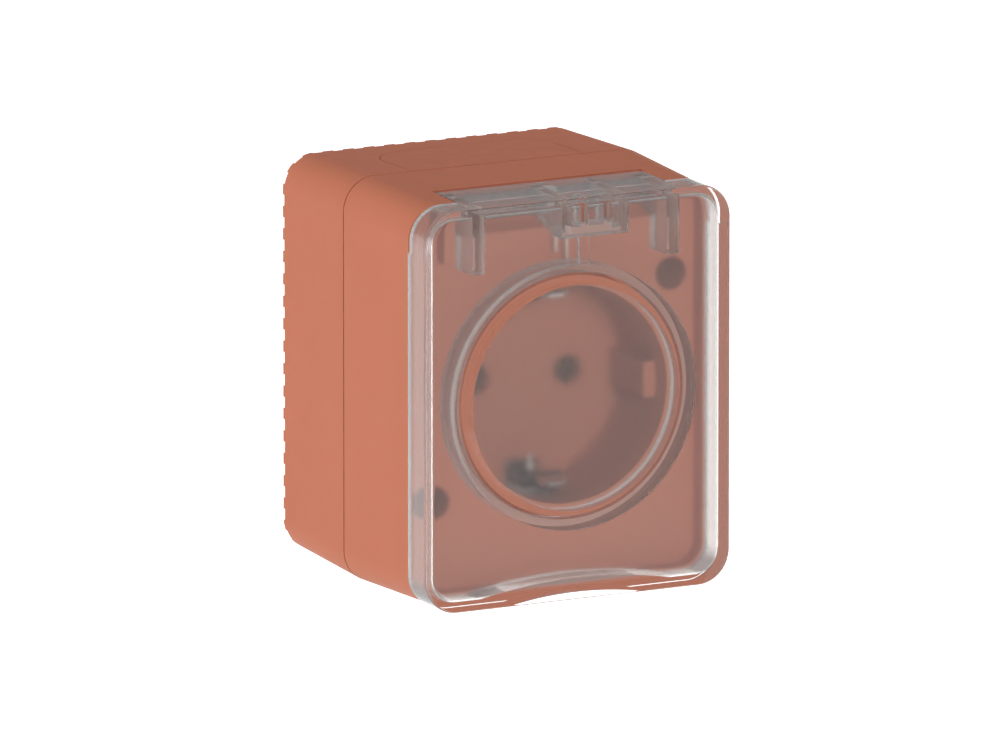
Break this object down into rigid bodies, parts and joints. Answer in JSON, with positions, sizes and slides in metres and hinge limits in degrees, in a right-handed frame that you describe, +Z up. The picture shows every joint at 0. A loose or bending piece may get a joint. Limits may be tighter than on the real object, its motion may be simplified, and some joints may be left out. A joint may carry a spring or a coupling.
{
  "type": "outdoor wall socket",
  "caption": "Surface-mounted outdoor socket with a round earthed well, two-part orange housing, cable entries and a sprung clear hinged lid.",
  "frame": {"origin": "on the wall plane, at the socket's axis", "axes": "+Y into the wall, so the front faces -Y; +Z up, towards the lid's hinge; +X to the right seen from the front"},
  "size_m": [0.0632, 0.0584, 0.0758],
  "materials": {
    "housing": "fine matt moulded",
    "cover": "fine matt moulded",
    "cup": "satin moulded",
    "gasket": "soft matt",
    "base": "matt moulded",
    "brass": "stamped",
    "plated_strip": "plated",
    "screw_steel": "zinc plated",
    "pin_steel": "drawn",
    "spring_steel": "bright wire",
    "clear_lid": "clear, polished outside, frosted behind the front panel"
  },
  "bodies": {
    "housing": {"back_box": "housing", "cable_entry_top": "housing", "cable_entry_bottom": "housing", "front_cover": "cover", "socket_cup": "cup", "box_gasket": "gasket", "contact_base": "base", "earth_strap": "plated_strip", "live_contact": "brass", "neutral_contact": "brass", "live_clamp": "brass", "neutral_clamp": "brass", "earth_clamp": "brass", "live_clamp_screw": "screw_steel", "neutral_clamp_screw": "screw_steel", "earth_clamp_screw": "screw_steel", "cover_screw_upper": "screw_steel", "cover_screw_lower": "screw_steel", "cover_screw_seal_upper": "gasket", "cover_screw_seal_lower": "gasket", "cup_screw_left": "screw_steel", "cup_screw_right": "screw_steel", "base_screw_left": "screw_steel", "base_screw_right": "screw_steel", "hinge_pin": "pin_steel", "lid_spring": "spring_steel"},
    "lid": {"lid": "clear_lid"}
  },
  "joints": [
    {"name": "lid_hinge", "type": "hinge", "parent": "housing", "child": "lid", "pos_m": [0, -0.045, 0.0346], "axis": [-1, 0, 0], "range_deg": [0, 100], "stiffness_Nm_per_rad": 0.01, "springref_deg": -34.38, "deforming": ["lid_spring"]}
  ]
}
